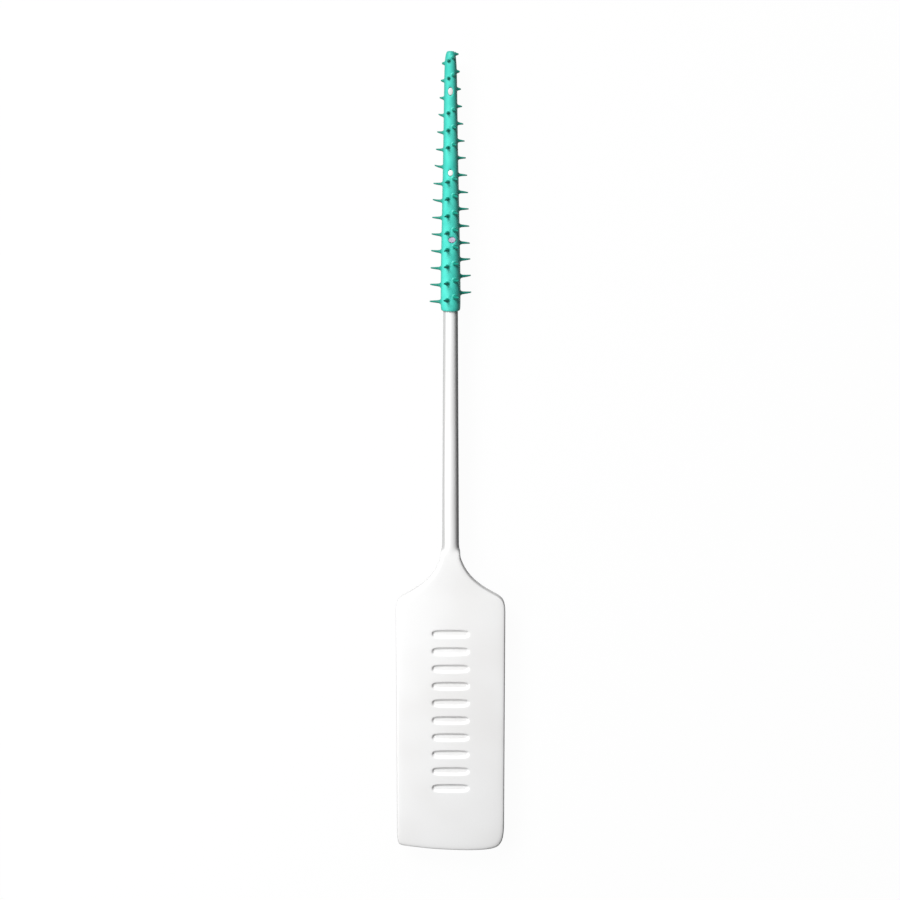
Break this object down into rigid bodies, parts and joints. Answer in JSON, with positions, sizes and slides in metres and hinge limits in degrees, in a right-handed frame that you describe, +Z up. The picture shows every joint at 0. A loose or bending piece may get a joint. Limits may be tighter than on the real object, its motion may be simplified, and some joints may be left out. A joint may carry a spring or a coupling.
{
  "type": "rubber interdental pick",
  "caption": "Disposable interdental pick: flat white paddle handle with thumb grooves, slim round stem, and a tapered green rubber sleeve with soft nubs.",
  "frame": {"origin": "middle of the underside of the whole pick as it lies flat, which is at the level of the lowest nub tips", "axes": "+Y along the pick from the handle towards the rubber tip, +Z up out of the grooved front face, +X to the right when the tip points away"},
  "size_m": [0.0096, 0.07, 0.0033],
  "materials": {
    "white_polypropylene": "satin moulded",
    "green_rubber": "soft satin thermoplastic rubber"
  },
  "bodies": {
    "root": {"pick_body": "white_polypropylene", "rubber_sleeve": "green_rubber"}
  },
  "joints": []
}
